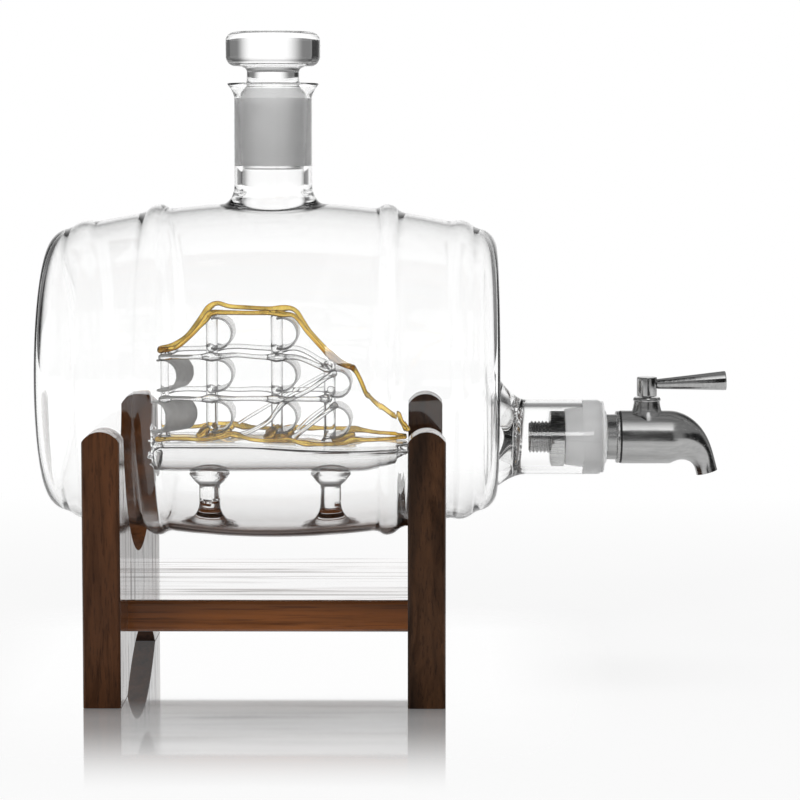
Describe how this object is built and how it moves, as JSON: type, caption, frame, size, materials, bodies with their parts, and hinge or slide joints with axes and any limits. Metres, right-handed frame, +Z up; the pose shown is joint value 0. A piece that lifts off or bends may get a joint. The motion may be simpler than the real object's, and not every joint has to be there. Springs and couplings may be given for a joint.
{
  "type": "figural liquor decanter",
  "caption": "Glass barrel decanter with a glass sailing ship inside, ground stopper and lever tap, lying in a wooden cradle stand.",
  "frame": {"origin": "on the table under the middle of the whole object", "axes": "+X along the barrel towards the tap, +Y away from the viewer, +Z up"},
  "size_m": [0.2269, 0.124, 0.2144],
  "materials": {
    "clear_glass": "clear polished",
    "frosted_glass": "sandblasted",
    "gilded_glass": "gold lustre",
    "walnut": "dark stain, satin lacquer",
    "dowel_wood": "plain",
    "steel": "brushed, polished edges",
    "silicone": "translucent",
    "black_rubber": "matte"
  },
  "bodies": {
    "stand": {"left_upright": "walnut", "right_upright": "walnut", "shelf": "walnut", "shelf_dowels": "dowel_wood"},
    "decanter": {"barrel_shell": "clear_glass", "far_head": "clear_glass", "tap_head": "clear_glass", "filler_neck": "clear_glass", "outlet_tube": "clear_glass", "outlet_bung": "silicone", "lock_nut": "steel", "inlet_stem": "steel", "body_gasket": "black_rubber", "tap_body": "steel", "bonnet": "steel", "ship_hull": "clear_glass", "ship_posts": "clear_glass", "stern_mast": "clear_glass", "main_mast": "clear_glass", "fore_mast": "clear_glass", "bow_mast": "clear_glass", "stern_sails": "frosted_glass", "main_sails": "frosted_glass", "fore_sails": "frosted_glass", "bow_sails": "frosted_glass", "yard_rods": "clear_glass", "shroud_rods": "clear_glass", "gold_rails": "gilded_glass", "gold_stays": "gilded_glass", "gold_forestay": "gilded_glass"},
    "stopper": {"stopper": "clear_glass"},
    "lever": {"valve_plug": "steel", "plug_seals": "black_rubber", "lever_hub": "steel", "lever_handle": "steel"}
  },
  "joints": [
    {"name": "decanter_lift", "type": "slide", "parent": "stand", "child": "decanter", "axis": [0, 0, 1], "range_m": [0, 0.06]},
    {"name": "stopper_lift", "type": "slide", "parent": "decanter", "child": "stopper", "axis": [0, 0, 1], "range_m": [0, 0.05]},
    {"name": "lever_turn", "type": "hinge", "parent": "decanter", "child": "lever", "pos_m": [0.08682, 0, 0.07861], "axis": [0, 0, 1], "range_deg": [-90, 0]}
  ]
}
